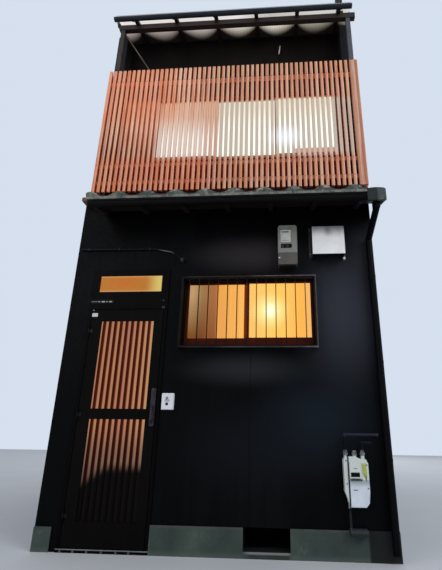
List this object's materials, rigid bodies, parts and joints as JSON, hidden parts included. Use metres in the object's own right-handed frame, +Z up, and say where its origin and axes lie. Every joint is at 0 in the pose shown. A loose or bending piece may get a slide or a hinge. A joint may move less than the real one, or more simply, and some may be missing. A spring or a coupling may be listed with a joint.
{
  "type": "machiya townhouse",
  "caption": "Narrow two-storey timber townhouse with a hinged latticed entrance door, tiled lower eave, lattice-screened balcony under a light canopy and a pantiled gable roof.",
  "frame": {"origin": "middle of the house's outline on the ground", "axes": "+Z up, +Y from the street front into the house, +X to the right as seen from the street"},
  "size_m": [3.012, 6.78, 7.3536],
  "materials": {
    "concrete": "cast concrete, weathered, grey-green",
    "black_wall": "matte charcoal wall coating",
    "upper_wall": "dark stained boards",
    "floor_boards": "plain boards",
    "dark_frame": "satin black-brown",
    "door_wood": "dark stained, satin",
    "amber_glass": "frosted",
    "warm_glass": "frosted",
    "clear_glass": "clear",
    "handle_metal": "dull bronze-grey",
    "lattice_wood": "salmon-brown stain, weathered",
    "post_metal": "grey paint, worn",
    "dark_wood": "weathered dark",
    "roof_tile": "fired grey tile, mossy",
    "gutter": "dark blue-black",
    "sheet": "translucent, weathered",
    "meter_grey": "grey moulded box",
    "hood_metal": "pale satin",
    "gas_white": "off-white gloss",
    "intercom_white": "white moulded",
    "conduit": "dark conduit"
  },
  "bodies": {
    "house": {"foundation": "concrete", "ground_floor": "concrete", "front_wall_left": "black_wall", "front_wall_over_door": "black_wall", "front_wall_right": "black_wall", "left_party_wall": "black_wall", "right_side_wall": "black_wall", "back_wall": "black_wall", "upper_floor": "floor_boards", "upper_front_wall": "upper_wall", "door_frame": "dark_frame", "transom_light": "amber_glass", "window_frame": "dark_frame", "window_sashes": "dark_frame", "window_glass": "amber_glass", "window_grille": "dark_frame", "upper_window_frame": "dark_wood", "upper_window_sashes": "dark_wood", "upper_window_glass": "warm_glass", "back_window_frames": "dark_frame", "back_window_glass": "clear_glass", "hisashi_frame": "dark_wood", "hisashi_tiles": "roof_tile", "hisashi_gutter": "gutter", "downpipe": "gutter", "balcony_deck": "floor_boards", "balcony_posts": "post_metal", "lattice_front": "lattice_wood", "lattice_returns": "lattice_wood", "canopy_frame": "dark_wood", "canopy_sheet": "sheet", "upper_gutter": "gutter", "roof_deck": "dark_wood", "roof_tiles_front": "roof_tile", "roof_tiles_back": "roof_tile", "roof_ridge": "roof_tile", "electric_meter_box": "meter_grey", "vent_hood": "hood_metal", "gas_meter": "gas_white", "intercom": "intercom_white", "conduit_and_lamp": "conduit"},
    "door": {"door_leaf": "door_wood", "door_lattice": "door_wood", "door_glass": "amber_glass", "door_fittings": "handle_metal"}
  },
  "joints": [
    {"name": "door_hinge", "type": "hinge", "parent": "house", "child": "door", "pos_m": [-1.27025, -2.9588, 0], "axis": [0, 0, -1], "range_deg": [0, 90]}
  ]
}
